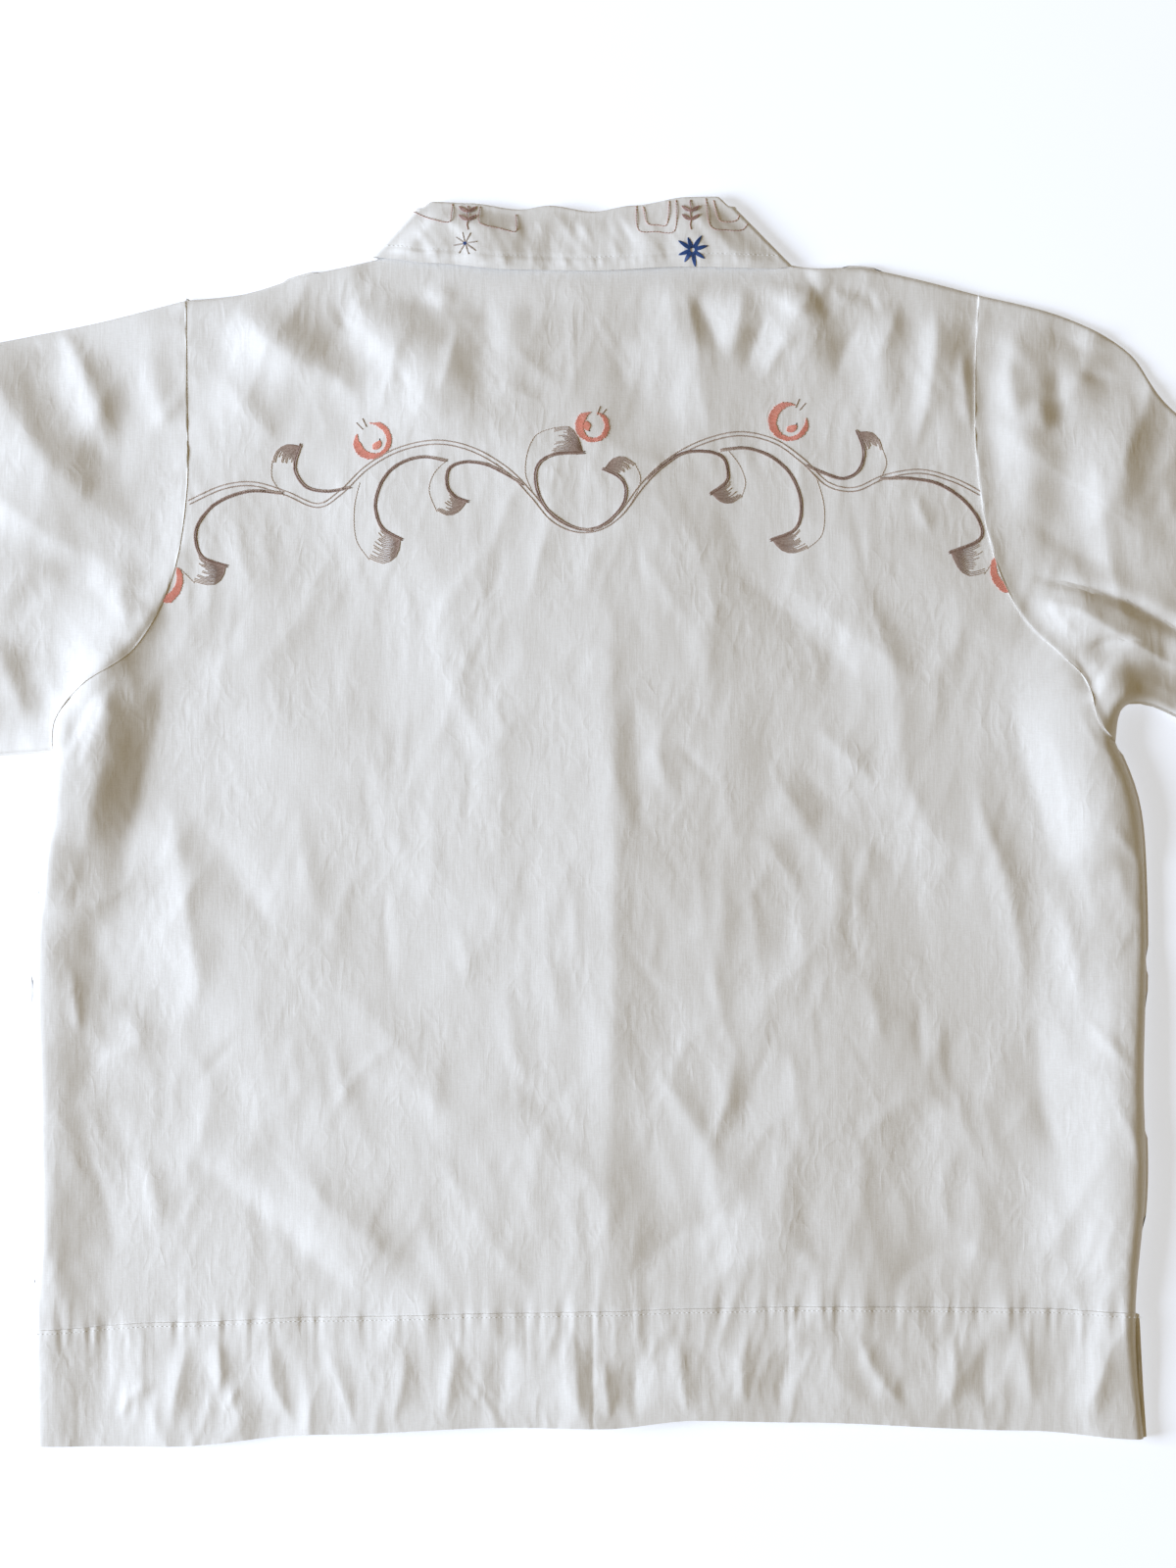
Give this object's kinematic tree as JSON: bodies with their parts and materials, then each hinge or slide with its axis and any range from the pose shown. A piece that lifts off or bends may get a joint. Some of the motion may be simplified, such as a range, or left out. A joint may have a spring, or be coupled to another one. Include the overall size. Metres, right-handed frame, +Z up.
{
  "type": "shirt jacket",
  "caption": "White linen-cotton shirt jacket laid flat face down, with a turned-down collar, set-in sleeves, hem band and an embroidered scrolling vine across the back.",
  "frame": {"origin": "centre of the garment's box, on the surface it lies on", "axes": "+Z up from the surface, +Y from the hem to the collar, +X towards the wearer's right; the back faces up"},
  "size_m": [1.5016, 0.7, 0.0141],
  "materials": {
    "cloth": "plain-weave linen and cotton, matt",
    "button": "polished, shell-like"
  },
  "bodies": {
    "root": {"back_panel": "cloth", "front_left": "cloth", "front_right": "cloth", "sleeve_left": "cloth", "sleeve_right": "cloth", "hem_band_left": "cloth", "hem_band_right": "cloth", "collar": "cloth", "button_1": "button", "button_2": "button", "button_3": "button", "button_4": "button", "button_5": "button", "button_6": "button"}
  },
  "joints": []
}
